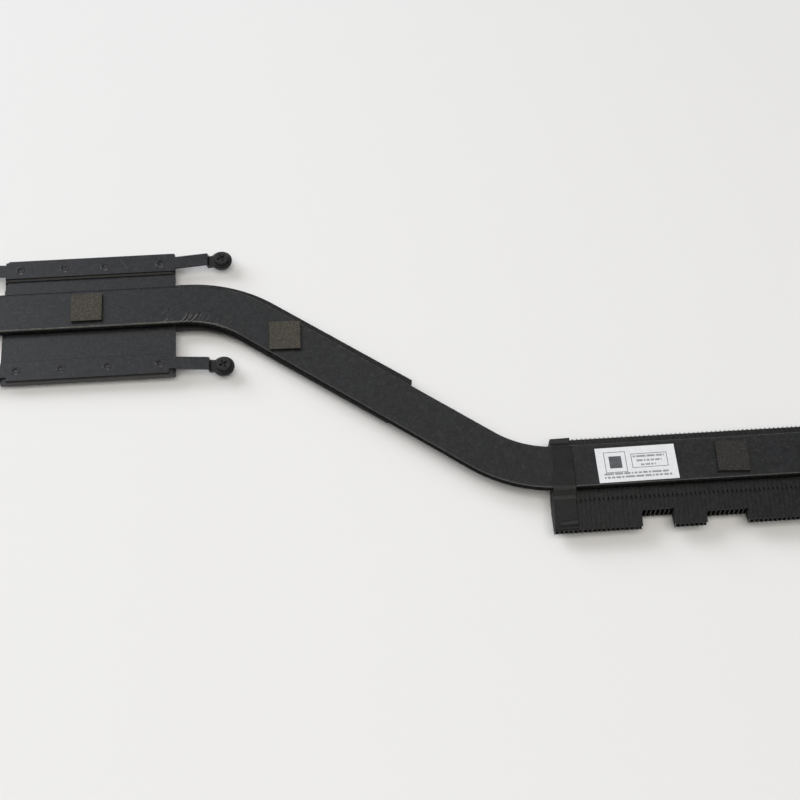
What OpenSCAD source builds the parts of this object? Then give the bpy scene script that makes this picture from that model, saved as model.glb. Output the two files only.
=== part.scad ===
// Laptop heatsink: a cold plate on two leaf springs, one flattened heat pipe and a stack of zipper fins.
// It lies with its contact side down, as it would on a bench: +X runs from the cold plate to the fins,
// +Y is the rear, and the origin is the middle of the copper face that meets the processor.

/* [Cold plate] */
// Width of the cold plate along the pipe
plate_w = 43; // [38:0.5:48]
// Thickness of the plate between its lands
plate_t = 1; // [0.6:0.1:1.2]
// Height of the two lands that carry the springs
land_h = 0.4; // [0.3:0.1:0.6]
// Width of the copper contact block
block_w = 28; // [20:1:34]
// Depth of the copper contact block
block_d = 22; // [16:1:22]
// Thickness of the copper contact block
block_t = 0.9; // [0.6:0.1:1.2]

/* [Leaf springs] */
// Distance between the middles of the two spring strips
strip_gap = 30.2; // [29.8:0.1:30.6]
// Depth of a spring strip
strip_d = 5.2; // [4.6:0.1:5.4]
// Thickness of the spring sheet
spring_t = 0.5; // [0.4:0.05:0.6]
// Width of a spring arm
arm_w = 3.4; // [2.8:0.1:3.8]
// Drop from the strip to the eye of an arm
arm_drop = 1.4; // [1.0:0.1:1.8]
// Outer diameter of the eye
eye_d = 5.4; // [4.8:0.1:6]

/* [Captive screws] */
// Screw spacing along the pipe
screw_span_x = 66.5; // [64:0.1:70]
// Screw spacing across the pipe
screw_span_y = 31.8; // [31.2:0.2:33]
// Nominal thread diameter
thread_d = 2; // [1.6:0.1:2.5]
// Head diameter
head_d = 4; // [3.6:0.1:4.4]
// Head height above the eye
head_h = 1.2; // [0.9:0.1:1.5]
// Diameter of the washer face under the head
flange_d = 4.9; // [4.4:0.1:5.2]
// How far the screw tips reach past the contact face
tip_reach = 0.8; // [0.6:0.1:2]

/* [Heat pipe] */
// Diameter of the round tube before it is flattened
tube_d = 8; // [6:0.5:8]
// Thickness of the flattened pipe
pipe_t = 1.6; // [1.4:0.1:2]
// Radius of both bends, to the middle of the pipe
bend_r = 30; // [27:3:39]
// Distance of the pipe's middle from the plate's middle
pipe_y = 1.7; // [0:0.1:3]
// Where the middle lines of the first run and the slanted run cross
corner_1 = 33.2; // [33:0.1:36]
// Length of the slanted run from the first crossing to the second
slant = 86.75; // [80:0.25:90]

/* [Fin stack] */
// Distance from one fin to the next
fin_pitch = 1.1; // [1:0.05:1.2]
// Thickness of the fin sheet
fin_t = 0.2; // [0.15:0.01:0.25]
// Depth of the stack along the air flow
fin_d = 24.25; // [22:0.25:26]
// Lean of every fin, in degrees, its rear end towards the right
fin_lean = 3.77; // [0:0.01:6]
// Full height of a fin
fin_h = 5; // [4.6:0.1:5.4]
// Height of a fin at the outlet edge
outlet_h = 1.7; // [1.4:0.1:2.4]
// Number of fins in each block, from left to right: block, notch, block, notch, block
fin_counts = [19, 7, 7, 9, 19];
// How far the outlet edge of each group is set back
setbacks = [0, 4.1, 0, 2.9, 0];

/* [Pads, tape and label] */
// Width of a foam pad
pad_w = 7.7; // [6:0.1:9]
// Depth of a foam pad
pad_d = 8; // [6:0.1:9]
// Thickness of a foam pad
pad_t = 0.8; // [0.5:0.1:1.2]
// Width of the sealing tape
tape_w = 5.6; // [4:0.1:7]
// Thickness of the sealing tape
tape_t = 0.35; // [0.2:0.05:0.5]
// Width of the label
label_w = 19.2; // [14:0.2:22]
// Depth of the label
label_d = 9.2; // [7:0.2:9.4]

/* [Hidden] */
$fn = 48;
slip = 0.05;

// Levels above the contact face
plate_z = block_t;
seat_z = plate_z + plate_t;
land_z = seat_z + land_h;
pipe_top = seat_z + pipe_t;
floor_z = seat_z - fin_h;

// Plate outline and lands: each land shows a little on both sides of its strip
land_in = 0.6;
land_out = 0.4;
strip_y = strip_gap / 2;
strip_outer = strip_y + strip_d / 2;
plate_d = 2 * (strip_outer + land_out);
land_d = strip_d + land_in + land_out;
land_end = 0.7;
rivet_rear_x = [-17.75, -6.65, 3.6, 17.75];
rivet_front_x = [-17.65, -6.65, 4.7, 17.7];
rivet_y = 14.9;
rivet_d = 1.5;
rivet_head_d = 2.4;
rivet_head_h = 0.1;
rivet_dimple = 0.2;
rivet_tail_h = 0.25;

// Arms: they splay outwards from the strip to the screw
strip_len = plate_w - 0.2;
eye_x = screw_span_x / 2;
eye_y = screw_span_y / 2;
arm_root_x = strip_len / 2 - 1;
arm_root_y = 14.9;
arm_angle = atan2(eye_y - arm_root_y, eye_x - arm_root_x);
arm_len = norm([eye_x - arm_root_x, eye_y - arm_root_y]);
step_x = 29.8;
step_run = 0.35;
step_wall = 0.3;
rear_relief = [1.5, 0.35];
front_relief = [1.5, 1.1];
strip_z = land_z;
eye_z = strip_z - arm_drop;

// Screws: shoulder through the eye, groove for the retaining ring, then the thread
shoulder_d = 2.6;
eye_hole_d = 2.9;
groove_d = 2.1;
ring_d = 5;
flange_t = 0.35;
ring_t = 0.4;
recess_w = 0.55;
recess_len = 2.3;
recess_depth = 0.7;
recess_turn = 28;
thread_tip = 0.3;
groove_top = eye_z - slip;
groove_low = groove_top - ring_t - 2 * slip;
thread_top = groove_low - 0.25;

// Heat pipe: a tube keeps its girth when it is flattened
pipe_w = (tube_d - pipe_t) * PI / 2 + pipe_t;
pipe_r = pipe_t / 2;
core_w = pipe_w - pipe_t;
// The slanted run drops 3 for every 4 along, so each bend's tangent is a third of its radius
bend_angle = atan2(3, 4);
bend_tan = bend_r / 3;
corner_2 = corner_1 + slant * 4 / 5;
last_y = pipe_y - slant * 3 / 5;
slant_len = slant - 2 * bend_tan;
pipe_start = -30;
pipe_end = 177;
nose_len = 5;
nose_w = 4.6;

// Stiffener strip: how far it shows past the pipe's sides, before and after the bend and at its end
stiff_t = 0.5;
stiff_out = [0.97, 1.6, 1.9];
stiff_in = [1, 0.16, -0.2];
stiff_start = plate_w / 2 + 0.2;
stiff_end = 52;
stiff_steps = 14;

// Fin stack
stack_x = 109.6;
stack_rear = -42.25;
stack_front = stack_rear - fin_d;
level_d = 16.75;
knee_y = stack_rear - level_d;
edge_step = 0.22;
taper = (fin_h - outlet_h) / (fin_d - level_d);
lock_y = -59.25;
lock_len = 1.3;
lock_w = 0.72;
lock_cut = 0.4;
tab_w = 0.3;
tab_t = 0.15;
tab_len = 0.2;

// Pads, tape and label
pad_places = [[-0.5, 1.85, 0.3], [48.8, -9.6, -1.2], [154.2, -50.4, -3]];
tape_front = stack_front + 0.45;
tape_rear = stack_rear - 0.15;
tape_cross_x = 110.9;
label_x = 131.1;
label_y = -50.7;
label_t = 0.1;
label_turn = 0.5;

black_paint = [0.17, 0.17, 0.18];
spring_black = [0.2, 0.2, 0.21];
fin_black = [0.15, 0.15, 0.155];

// Total of the first n entries of a list
function total(list, n) = n <= 0 ? 0 : list[n - 1] + total(list, n - 1);

// Underside of a fin at depth y: level, then rising to the outlet
function underside(y) = y > knee_y ? floor_z : floor_z + (knee_y - y) * taper;

// Rectangle with round corners, middle at the origin
module round_plate(w, d, t, r) {
    linear_extrude(t)
        union() {
            square([w - 2 * r, d], center = true);
            square([w, d - 2 * r], center = true);
            for (x = [-1, 1], y = [-1, 1])
                translate([x * (w / 2 - r), y * (d / 2 - r)]) circle(r);
        }
}

// Black cold plate with two lands, rivet holes and a small pocket at its left edge
module base_plate() {
    pocket = [0.65, 2.4];
    color(black_paint)
        difference() {
            union() {
                translate([0, 0, plate_z])
                    round_plate(plate_w, plate_d, plate_t, 0.5);
                for (side = [-1, 1])
                    translate([0, side * (plate_d - land_d) / 2, seat_z])
                        land();
            }
            rivet_holes(rivet_rear_x, rivet_y);
            rivet_holes(rivet_front_x, -rivet_y);
            translate([-plate_w / 2 - 1, plate_d / 2 - land_d - pocket[1], seat_z - plate_t / 2])
                cube([pocket[0] + 1, pocket[1], plate_t]);
        }
}

module land() {
    translate([-plate_w / 2 + land_end, -land_d / 2, -0.1])
        cube([plate_w - 2 * land_end, land_d, land_h + 0.1]);
}

module rivet_holes(places, y) {
    for (x = places)
        translate([x, y, plate_z - 1])
            cylinder(h = 5, d = rivet_d + 2 * slip);
}

// Bare copper block that meets the processor
module contact_block() {
    color([0.72, 0.45, 0.3])
        round_plate(block_w, block_d, block_t, 1);
}

// Leaf spring: its side view crossed with its plan. side is 1 at the rear, -1 at the front
module leaf_spring(side, places) {
    color(spring_black)
        intersection() {
            translate([0, side * strip_y + 10, 0])
                rotate([90, 0, 0])
                    linear_extrude(20)
                        spring_side_view();
            translate([0, 0, eye_z - 1])
                linear_extrude(arm_drop + 3)
                    difference() {
                        union() {
                            translate([-strip_len / 2, side * strip_y - strip_d / 2])
                                square([strip_len, strip_d]);
                            arm_plan(1, side);
                            arm_plan(-1, side);
                        }
                        for (x = places)
                            translate([x, side * rivet_y]) circle(d = rivet_d + 2 * slip);
                        for (x = [-1, 1]) {
                            translate([x * eye_x, side * eye_y]) circle(d = eye_hole_d);
                            if (side < 0 || x < 0)
                                strip_relief(x, side, side > 0 ? rear_relief : front_relief);
                        }
                    }
        }
}

// Side view of a spring: the strip stands higher than the eyes, with a step in each arm
module spring_side_view() {
    tip = eye_x + eye_d / 2 + 1;
    high = strip_z + spring_t;
    low = eye_z + spring_t;
    polygon([
        [-tip, eye_z], [-step_x, eye_z], [-step_x + step_run, strip_z],
        [step_x - step_run, strip_z], [step_x, eye_z], [tip, eye_z],
        [tip, low], [step_x + step_wall, low], [step_x - step_run + step_wall, high],
        [-step_x + step_run - step_wall, high], [-step_x - step_wall, low], [-tip, low]
    ]);
}

// Plan of one arm with its eye. x is 1 on the right, -1 on the left
module arm_plan(x, side) {
    mirror([x > 0 ? 0 : 1, 0])
        mirror([0, side > 0 ? 0 : 1]) {
            translate([arm_root_x, arm_root_y])
                rotate(arm_angle)
                    translate([-0.5, -arm_w / 2])
                        square([arm_len + 0.5, arm_w]);
            translate([eye_x, eye_y])
                circle(d = eye_d);
        }
}

// Small cut at the outer corner of a strip, beside the arm
module strip_relief(x, side, size) {
    translate([
        x > 0 ? strip_len / 2 - size[0] : -strip_len / 2 - 1,
        side > 0 ? strip_outer - size[1] : -strip_outer - 1
    ])
        square([size[0] + 1, size[1] + 1]);
}

// Rivets through one strip and the plate, with a dimpled head and a flat tail
module rivets(places, y) {
    color(spring_black)
        for (x = places)
            translate([x, y, 0]) rivet();
}

module rivet() {
    head_z = strip_z + spring_t;
    rotate_extrude()
        polygon([
            [0, plate_z - rivet_tail_h],
            [rivet_head_d / 2 - 0.2, plate_z - rivet_tail_h],
            [rivet_head_d / 2 - 0.1, plate_z],
            [rivet_d / 2, plate_z],
            [rivet_d / 2, head_z],
            [rivet_head_d / 2, head_z],
            [rivet_head_d / 2 - 0.15, head_z + rivet_head_h],
            [0.75, head_z + rivet_head_h],
            [0.45, head_z - rivet_dimple],
            [0, head_z - rivet_dimple]
        ]);
}

// Captive screw: pan head with a washer face and a cross recess, shoulder, ring groove and thread
module screw(x, y) {
    head_z = eye_z + spring_t;
    color(spring_black)
        translate([x * eye_x, y * eye_y, 0])
            difference() {
                rotate_extrude()
                    polygon([
                        [0, -tip_reach],
                        [thread_d / 2 - thread_tip, -tip_reach],
                        [thread_d / 2, -tip_reach + thread_tip],
                        [thread_d / 2, thread_top],
                        [shoulder_d / 2, thread_top + 0.15],
                        [shoulder_d / 2, groove_low],
                        [groove_d / 2, groove_low],
                        [groove_d / 2, groove_top],
                        [shoulder_d / 2, groove_top],
                        [shoulder_d / 2, head_z],
                        [flange_d / 2, head_z],
                        [flange_d / 2, head_z + flange_t],
                        [head_d / 2, head_z + flange_t],
                        [head_d / 2, head_z + head_h - 0.25],
                        [head_d / 2 - 0.25, head_z + head_h],
                        [0, head_z + head_h]
                    ]);
                translate([0, 0, head_z + head_h])
                    rotate([0, 0, recess_turn])
                        cross_recess();
            }
}

module cross_recess() {
    for (a = [0, 90])
        rotate([0, 0, a])
            rotate([90, 0, 0])
                translate([0, 0, -recess_w / 2])
                    linear_extrude(recess_w)
                        polygon([
                            [-recess_len / 2, 0.1], [recess_len / 2, 0.1], [recess_len / 2, 0],
                            [0.35, -recess_depth], [-0.35, -recess_depth], [-recess_len / 2, 0]
                        ]);
}

// Open retaining ring in the groove under the eye
module ring(x, y) {
    color([0.3, 0.3, 0.31])
        translate([x * eye_x, y * eye_y, groove_top - ring_t - slip])
            difference() {
                cylinder(h = ring_t, d = ring_d);
                translate([0, 0, -1])
                    cylinder(h = 3, d = groove_d + 2 * slip);
                translate([0, -0.7, -1])
                    cube([ring_d, 1.4, 3]);
            }
}

// Section of the flattened pipe: straight walls top and bottom, round sides. x is across, y is up
module pipe_section() {
    translate([-core_w / 2, 0]) square([core_w, pipe_t]);
    for (x = [-1, 1])
        translate([x * core_w / 2, pipe_r]) circle(pipe_r);
}

// Straight run along +X from the origin
module pipe_run(length) {
    rotate([90, 0, 90])
        linear_extrude(length)
            pipe_section();
}

// Bend of the pipe about the origin, from angle a0 through a1
module pipe_bend(a0, a1) {
    rotate([0, 0, a0])
        rotate_extrude(angle = a1, $fn = 96)
            translate([bend_r, 0]) pipe_section();
}

// Last stretch of the pipe along +X from the origin, its closed end narrowed by two slanted cuts
module pipe_nose(length) {
    turn = atan2((pipe_w - nose_w) / 2, nose_len);
    difference() {
        pipe_run(length);
        for (y = [0, 1])
            mirror([0, y, 0])
                translate([length, nose_w / 2, -1])
                    rotate([0, 0, -turn])
                        translate([-4 * nose_len, 0, 0])
                            cube([5 * nose_len, pipe_w, pipe_t + 2]);
    }
}

// Sealed heat pipe: first run on the plate, bend, slanted run, bend back and last run on the fins
module heat_pipe() {
    color(black_paint)
        translate([0, 0, seat_z]) {
            translate([corner_1 - bend_tan, pipe_y, 0])
                mirror([1, 0, 0])
                    pipe_nose(corner_1 - bend_tan - pipe_start);
            translate([corner_1 - bend_tan, pipe_y - bend_r, 0])
                pipe_bend(90 - bend_angle, bend_angle);
            translate([corner_1, pipe_y, 0])
                rotate([0, 0, -bend_angle])
                    translate([bend_tan, 0, 0])
                        pipe_run(slant_len);
            translate([corner_2 + bend_tan, last_y + bend_r, 0])
                pipe_bend(270 - bend_angle, bend_angle);
            translate([corner_2 + bend_tan, last_y, 0])
                pipe_nose(pipe_end - corner_2 - bend_tan);
        }
}

// Thin steel strip soldered under the first bend and the slanted run
module pipe_stiffener() {
    half = pipe_w / 2;
    step = bend_angle / stiff_steps;
    color(spring_black)
        translate([0, 0, seat_z - stiff_t])
            linear_extrude(stiff_t)
                polygon(concat(
                    [[stiff_start, pipe_y + half + stiff_out[0]]],
                    [for (i = [0 : stiff_steps]) bend_edge(i * step, half + show(stiff_out, i))],
                    [slant_point(stiff_end, half + stiff_out[2])],
                    [slant_point(stiff_end + 1, half + 0.1)],
                    [slant_point(stiff_end + 1.4, -half - stiff_in[2])],
                    [for (i = [stiff_steps : -1 : 0]) bend_edge(i * step, -half - show(stiff_in, i))],
                    [[stiff_start, pipe_y - half - stiff_in[0]]]
                ));
}

// How far the strip shows beside the bend, at step i of the bend
function show(side, i) = side[0] + (side[1] - side[0]) * i / stiff_steps;

// Point beside the first bend, at angle t of the bend and off to the outside of the middle line
function bend_edge(t, off) =
    [corner_1 - bend_tan, pipe_y - bend_r] + (bend_r + off) * [sin(t), cos(t)];

// Point beside the slanted run, along and off the middle line
function slant_point(along, off) =
    [corner_1 + (4 * along + 3 * off) / 5, pipe_y + (4 * off - 3 * along) / 5];

// One stamped fin at x: a web, a flange along its top and one along its underside, and the zip locks
module fin(front) {
    reach = fin_pitch - slip;
    rear = stack_rear - edge_step;
    lip = front + edge_step;
    difference() {
        union() {
            upright(fin_t) fin_outline(stack_rear, front);
            upright(reach)
                polygon([
                    [rear, seat_z - fin_t], [rear, seat_z],
                    [lip, seat_z], [lip, seat_z - fin_t]
                ]);
            upright(reach)
                polygon([
                    [rear, floor_z], [knee_y, floor_z], [lip, underside(lip)],
                    [lip, underside(lip) + fin_t], [knee_y, floor_z + fin_t],
                    [rear, floor_z + fin_t]
                ]);
        }
        for (x = [0, fin_pitch], z = [seat_z - lock_cut, floor_z - 0.1])
            translate([x - slip / 2, lock_y, z])
                lock_notch();
    }
    for (z = [seat_z - fin_t - tab_t / 2, floor_z + fin_t - tab_t / 2])
        translate([fin_pitch / 2, lock_y + tab_w / 2, z])
            cube([reach - fin_pitch / 2 + tab_len, tab_w, tab_t]);
}

// Triangular notch shared by two neighbours, wide at the front. A tab of the left one lies in it
module lock_notch() {
    linear_extrude(lock_cut + 0.1)
        polygon([[-lock_w / 2, 0], [lock_w / 2, 0], [0, lock_len]]);
}

// Draws a shape of depth and height upright, with its thickness along +X
module upright(thickness) {
    rotate([90, 0, 90])
        linear_extrude(thickness) children();
}

module fin_outline(rear, front) {
    polygon([
        [rear, seat_z], [rear, floor_z], [knee_y, floor_z],
        [front, underside(front)], [front, seat_z]
    ]);
}

// Group of zipped fins number g, counted from the left: each fin leans about its front end
module fin_group(g) {
    first = total(fin_counts, g);
    color(fin_black)
        for (i = [0 : fin_counts[g] - 1])
            translate([stack_x + (first + i) * fin_pitch, stack_front, 0])
                rotate([0, 0, -fin_lean])
                    translate([0, -stack_front, 0])
                        fin(stack_front + setbacks[g]);
}

// Sealing tape over the left end of the stack and over the pipe: its side view crossed with its plan
module sealing_tape() {
    color([0.13, 0.13, 0.13])
        intersection() {
            translate([stack_x - 1, 0, 0])
                upright(tape_w + 5)
                    tape_side_view();
            translate([stack_x, stack_front, seat_z - 1])
                rotate([0, 0, -fin_lean])
                    linear_extrude(pipe_t + 3)
                        polygon([
                            [0.05, 0.4], [tape_w, 0.8], [tape_w - 0.15, fin_d * 0.45],
                            [tape_w - 0.8, fin_d + 1], [0.05, fin_d + 1]
                        ]);
        }
}

// Side view of the tape: it lies on the fins, climbs the pipe, crosses it and comes down again
module tape_side_view() {
    bend_rise = bend_r - sqrt(pow(bend_r, 2) - pow(corner_2 + bend_tan - tape_cross_x, 2));
    rear = last_y + pipe_w / 2 + bend_rise;
    front = last_y - pipe_w / 2;
    foot = 1.15;
    brow = 0.42;
    low = seat_z;
    high = pipe_top + 0.04;
    polygon([
        [tape_rear, low], [rear + foot, low], [rear - brow, high],
        [front + brow, high], [front - foot, low], [tape_front, low],
        [tape_front, low + tape_t], [front - foot - tape_t / 2, low + tape_t],
        [front + brow - tape_t / 2, high + tape_t], [rear - brow + tape_t / 2, high + tape_t],
        [rear + foot + tape_t / 2, low + tape_t], [tape_rear, low + tape_t]
    ]);
}

// Paper label on the last run of the pipe
module label() {
    color([0.93, 0.93, 0.92])
        translate([label_x, label_y, pipe_top])
            rotate([0, 0, label_turn])
                round_plate(label_w, label_d, label_t, 0.3);
}

// Square foam pad number i on top of the pipe
module foam_pad(i) {
    place = pad_places[i];
    color([0.3, 0.28, 0.25])
        translate([place[0], place[1], pipe_top])
            rotate([0, 0, place[2]])
                translate([-pad_w / 2, -pad_d / 2, 0])
                    cube([pad_w, pad_d, pad_t]);
}

base_plate();
contact_block();
leaf_spring(1, rivet_rear_x);  // leaf_spring_rear
leaf_spring(-1, rivet_front_x);  // leaf_spring_front
rivets(rivet_rear_x, rivet_y);  // rivets_rear
rivets(rivet_front_x, -rivet_y);  // rivets_front
screw(-1, 1);  // screw_rear_left
screw(1, 1);  // screw_rear_right
screw(-1, -1);  // screw_front_left
screw(1, -1);  // screw_front_right
ring(-1, 1);  // ring_rear_left
ring(1, 1);  // ring_rear_right
ring(-1, -1);  // ring_front_left
ring(1, -1);  // ring_front_right
heat_pipe();
pipe_stiffener();
fin_group(0);  // fins_block_left
fin_group(1);  // fins_notch_left
fin_group(2);  // fins_block_middle
fin_group(3);  // fins_notch_right
fin_group(4);  // fins_block_right
sealing_tape();
label();
foam_pad(0);  // foam_pad_left
foam_pad(1);  // foam_pad_middle
foam_pad(2);  // foam_pad_right
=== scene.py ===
# %% [markdown]
# # A laptop heatsink, from one photograph
# The part lies on a pale table with its contact side down: a cold plate held by two leaf springs,
# a heat pipe pressed flat from round tube, and a stack of thin zipped fins. All hard pieces come
# from the CAD frame and only get their finish here. This script adds what a solid model holds
# badly: the pipe's painted skin with its bending wrinkles, the foam pads, the sealing tape and the
# label, and then every finish, the table, the light and the camera.
#
# Shapes are written in millimetres and scaled once, when a mesh is made. The origin is the middle
# of the contact face, +X runs along the pipe towards the fins, +Y to the rear and +Z up.

# %% Setup: load the frame
import math
import bpy
import numpy as np
from mathutils import Matrix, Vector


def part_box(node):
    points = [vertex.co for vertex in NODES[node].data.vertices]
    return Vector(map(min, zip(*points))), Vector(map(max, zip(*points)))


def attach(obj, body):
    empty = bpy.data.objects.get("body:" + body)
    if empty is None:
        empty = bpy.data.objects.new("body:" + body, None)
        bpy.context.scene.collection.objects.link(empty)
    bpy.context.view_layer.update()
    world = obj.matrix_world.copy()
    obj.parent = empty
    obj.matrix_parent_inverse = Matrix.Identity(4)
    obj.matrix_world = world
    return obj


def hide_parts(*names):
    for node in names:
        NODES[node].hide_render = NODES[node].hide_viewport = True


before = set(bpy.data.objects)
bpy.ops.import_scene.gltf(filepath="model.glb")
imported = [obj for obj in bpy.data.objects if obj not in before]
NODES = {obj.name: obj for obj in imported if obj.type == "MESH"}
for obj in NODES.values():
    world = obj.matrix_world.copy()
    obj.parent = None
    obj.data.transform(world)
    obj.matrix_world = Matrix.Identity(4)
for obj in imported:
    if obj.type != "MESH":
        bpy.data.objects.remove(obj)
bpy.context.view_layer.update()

MM = 0.001
scene = bpy.context.scene
print("CAD pieces", len(NODES))

# %% [markdown]
# ## Heights that the other pieces are built on
# The pipe rests on the plate and on the fins, which have one common height, the seat. Reading it
# from the CAD pieces, and not from a number, keeps the new surfaces in place if a solid changes.

# %% Seat, pipe thickness and the lowest point of the fins


def box_mm(piece):
    """Lowest and highest corner of a CAD piece in millimetres."""
    lo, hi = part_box(piece)
    return np.array(lo) / MM, np.array(hi) / MM


PIPE_LO, PIPE_HI = box_mm("heat_pipe")
SEAT = PIPE_LO[2]
PIPE_T = PIPE_HI[2] - SEAT
FLOOR = box_mm("fins_block_left")[0][2]
print("pipe seat", round(SEAT, 3), "pipe thickness", round(PIPE_T, 3), "fins' foot", round(FLOOR, 3))

# %% [markdown]
# ## Unevenness
# Nothing here is perfectly flat: paint waves, tape ripples, foam sags at its rim. Blender's own
# noise textures work only in a material or a modifier. A table of random numbers, mixed smoothly
# between its cells, can move the points of a whole grid at once and is the same on every run.

# %% Eased steps and value noise


def smoothstep(a, b, x):
    """s = t*t*(3 - 2t) with t = (x - a)/(b - a) held to 0..1."""
    t = np.clip((x - a) / (b - a), 0.0, 1.0)
    return t * t * (3.0 - 2.0 * t)


def noise2(x, y, cell, seed):
    """Smooth value noise in -1..1: bilinear mix, eased, of a random table with one value per cell."""
    table = np.random.default_rng(seed).uniform(-1.0, 1.0, (256, 256))
    u, v = np.asarray(x) / cell, np.asarray(y) / cell
    i, j = np.floor(u).astype(int), np.floor(v).astype(int)
    a, b = u - i, v - j
    a, b = a * a * (3 - 2 * a), b * b * (3 - 2 * b)
    low = table[i % 256, j % 256] * (1 - a) + table[(i + 1) % 256, j % 256] * a
    high = table[i % 256, (j + 1) % 256] * (1 - a) + table[(i + 1) % 256, (j + 1) % 256] * a
    return low * (1 - b) + high * b


print("noise at four points", np.round(noise2(np.arange(4) * 0.7, np.zeros(4), 1.0, 1), 3))

# %% [markdown]
# ## From arrays to a mesh
# Every new surface is a grid of points, worked out as whole arrays. Its faces follow from how the
# points are counted, so two small rules are enough: quads over an open grid, and quads round a
# row of closed rings. Each mesh rides on the part's one body and keeps its place in its points.

# %% Grids, rings and a mesh


def grid_quads(rows, columns):
    """Quads of a grid whose point (i, j) has the number i*columns + j."""
    i, j = np.meshgrid(np.arange(rows - 1), np.arange(columns - 1), indexing="ij")
    k = i * columns + j
    return np.stack([k, k + columns, k + columns + 1, k + 1], -1).reshape(-1, 4)


def ring_quads(rings, around):
    """Quads between successive closed rings of points, then one face on each end."""
    i, j = np.meshgrid(np.arange(rings - 1), np.arange(around), indexing="ij")
    k = (j + 1) % around
    quads = np.stack([i * around + j, (i + 1) * around + j, (i + 1) * around + k, i * around + k], -1)
    ends = [list(range(around)), list(range(rings * around - 1, (rings - 1) * around - 1, -1))]
    return quads.reshape(-1, 4).tolist() + ends


def add_mesh(name, points, faces, materials, smooth=True, face_slots=None):
    """One object from points in millimetres and faces; face_slots gives each face its material."""
    mesh = bpy.data.meshes.new(name)
    mesh.from_pydata((np.asarray(points) * MM).tolist(), [], [list(map(int, f)) for f in faces])
    mesh.validate()
    for material in materials:
        mesh.materials.append(material)
    mesh.polygons.foreach_set("use_smooth", [smooth] * len(mesh.polygons))
    if face_slots is not None:
        mesh.polygons.foreach_set("material_index", np.asarray(face_slots, np.int32))
    obj = bpy.data.objects.new(name, mesh)
    scene.collection.objects.link(obj)
    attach(obj, "root")
    print(name, len(faces), "faces, size", np.round(np.ptp(points, axis=0), 2), "mm")
    return obj


print("quads of a 3 by 4 grid", len(grid_quads(3, 4)))

# %% [markdown]
# ## Colours and nodes
# A material is a small tree of nodes that ends in the principled shader. Patterns read the object
# coordinates, which here are the part's own frame in metres, so a grain has a real size and a
# scratch has a real place. An image texture could do the same, but it would need a file.

# %% Colour, pattern size and one function that adds a node


def srgb(code):
    """Linear RGBA of a hex sRGB colour: ((c + 0.055)/1.055)^2.4 above 0.04045, else c/12.92."""
    c = np.array([int(code[i:i + 2], 16) for i in (1, 3, 5)]) / 255.0
    lin = np.where(c > 0.04045, ((c + 0.055) / 1.055) ** 2.4, c / 12.92)
    return (*[float(v) for v in lin], 1.0)


def grains(size_mm):
    """Noise scale, per metre, whose grains are about size_mm across: 1000/(2.2*size)."""
    return 1000.0 / (size_mm * 2.2)


def node(tree, kind, inputs=None, stops=(), **settings):
    """Add a node with its settings, a ramp's (place, hex) stops and its inputs; gives its outputs."""
    n = tree.nodes.new(kind)
    for key, value in settings.items():
        setattr(n, key, value)
    while stops and len(n.color_ramp.elements) < len(stops):
        n.color_ramp.elements.new(0.5)
    for k, (place, code) in enumerate(stops):
        n.color_ramp.elements[k].position = place
        n.color_ramp.elements[k].color = srgb(code)
    for key, value in (inputs or {}).items():
        if isinstance(value, bpy.types.NodeSocket):
            tree.links.new(value, n.inputs[key])
        else:
            n.inputs[key].default_value = value
    return n.outputs


def new_material(name):
    """An empty node material with its tree, its principled shader and object coordinates."""
    material = bpy.data.materials.new(name)
    material.use_nodes = True
    tree = material.node_tree
    shader = tree.nodes["Principled BSDF"]
    return material, tree, shader, node(tree, "ShaderNodeTexCoord")["Object"]


def paint_over(tree, shader, mask, code):
    """Mix a plain colour over the shader's present base colour where mask is 1."""
    under = shader.inputs["Base Color"].links[0].from_socket
    mixed = node(tree, "ShaderNodeMix", {"Factor": mask, "A": under, "B": srgb(code)},
                 data_type="RGBA")["Result"]
    tree.links.new(mixed, shader.inputs["Base Color"])


print("middle grey #808080 is linear", round(srgb("#808080")[0], 4))

# %% [markdown]
# ## Single scratches, and painted lines of highlight and shade
# Paint is scratched at places that can be measured, and the plate's lands get painted highlights
# and a line of painted shade. Such a line could be cut into the mesh, but it has no depth to speak
# of, so a mask on the coordinates is enough: a point is in the line if its distance across the
# line and its place along the line are both within bounds.

# %% Scratch mask and the lines on plate and spring


def scratch_mask(tree, coords, start, stop, half_mm):
    """1 where |across| < half_mm and 0 < along < length, from start to stop in mm; 0 elsewhere."""
    start, stop = np.array(start, float), np.array(stop, float)
    length = np.linalg.norm(stop - start)
    way = (stop - start) / length
    flat = node(tree, "ShaderNodeVectorMath", {0: coords, 1: (*(start * MM).tolist(), 0.0)},
                operation="SUBTRACT")[0]
    across = node(tree, "ShaderNodeVectorMath", {0: flat, 1: (float(-way[1]), float(way[0]), 0.0)},
                  operation="DOT_PRODUCT")["Value"]
    along = node(tree, "ShaderNodeVectorMath", {0: flat, 1: (float(way[0]), float(way[1]), 0.0)},
                 operation="DOT_PRODUCT")["Value"]
    near = node(tree, "ShaderNodeMath", {0: across, 1: 0.0, 2: half_mm * MM}, operation="COMPARE")[0]
    inside = node(tree, "ShaderNodeMath", {0: along, 1: length / 2 * MM, 2: length / 2 * MM},
                  operation="COMPARE")[0]
    return node(tree, "ShaderNodeMath", {0: near, 1: inside}, operation="MULTIPLY")[0]


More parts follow.
